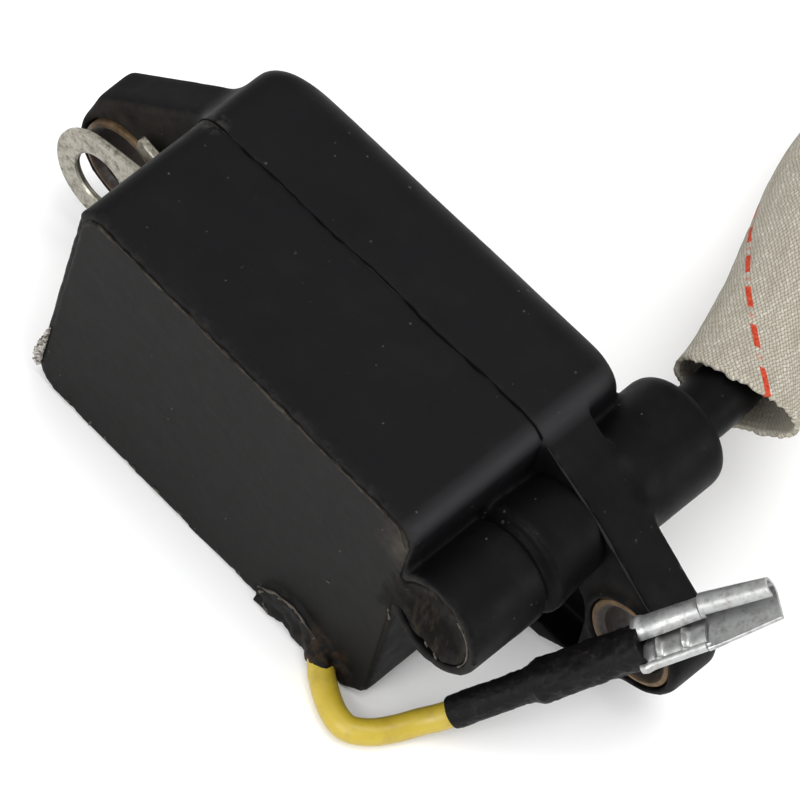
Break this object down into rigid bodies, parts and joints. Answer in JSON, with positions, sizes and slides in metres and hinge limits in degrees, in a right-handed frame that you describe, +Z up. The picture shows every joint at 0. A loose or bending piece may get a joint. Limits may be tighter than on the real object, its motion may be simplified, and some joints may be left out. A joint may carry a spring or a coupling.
{
  "type": "ignition coil",
  "caption": "Potted ignition coil in a moulded housing with bushed ears, an HT lead in a woven sleeve with its plug boot, and a short primary lead with a tab receptacle.",
  "frame": {"origin": "middle of the housing's box, ears and tower included and leads left out, on the plane of the long flat side that it lies on", "axes": "+X along the housing from the ground ear to the HT ear; +Y from the potted mouth to the back of the housing, which is also the direction of the mounting holes; +Z up from the long flat side"},
  "size_m": [0.1411, 0.1376, 0.0342],
  "materials": {
    "housing": "moulded, slightly glossy, dusty",
    "potting": "cast epoxy, matte, chipped along its lower edge",
    "bush": "plain steel with light rust",
    "core_steel": "coated sheet steel",
    "bobbin": "natural nylon",
    "copper": "enamelled copper wire",
    "brass": "plain brass",
    "tinned_metal": "tin plate, bright",
    "rubber": "black rubber, matte",
    "sleeve": "woven glass fibre, varnished, with one red tracer",
    "yellow_insulation": "extruded insulation",
    "heat_shrink": "shrunk polyolefin tube"
  },
  "bodies": {
    "root": {"front_cup": "housing", "rear_shell": "housing", "potting_compound": "potting", "ground_bush": "bush", "ht_bush": "bush", "core_lamination_1": "core_steel", "core_lamination_2": "core_steel", "core_lamination_3": "core_steel", "core_lamination_4": "core_steel", "core_lamination_5": "core_steel", "core_lamination_6": "core_steel", "primary_bobbin": "bobbin", "primary_winding": "copper", "secondary_bobbin": "bobbin", "secondary_section_1": "copper", "secondary_section_2": "copper", "secondary_section_3": "copper", "secondary_section_4": "copper", "secondary_section_5": "copper", "secondary_section_6": "copper", "ht_link": "copper", "primary_link": "copper", "ground_link": "copper", "ht_pin": "brass", "ht_lead": "rubber", "lead_seal": "rubber", "fibreglass_sleeve": "sleeve", "plug_boot": "rubber", "plug_clip": "brass", "yellow_lead": "yellow_insulation", "heat_shrink": "heat_shrink", "tab_receptacle": "tinned_metal", "ground_tag": "tinned_metal"}
  },
  "joints": []
}
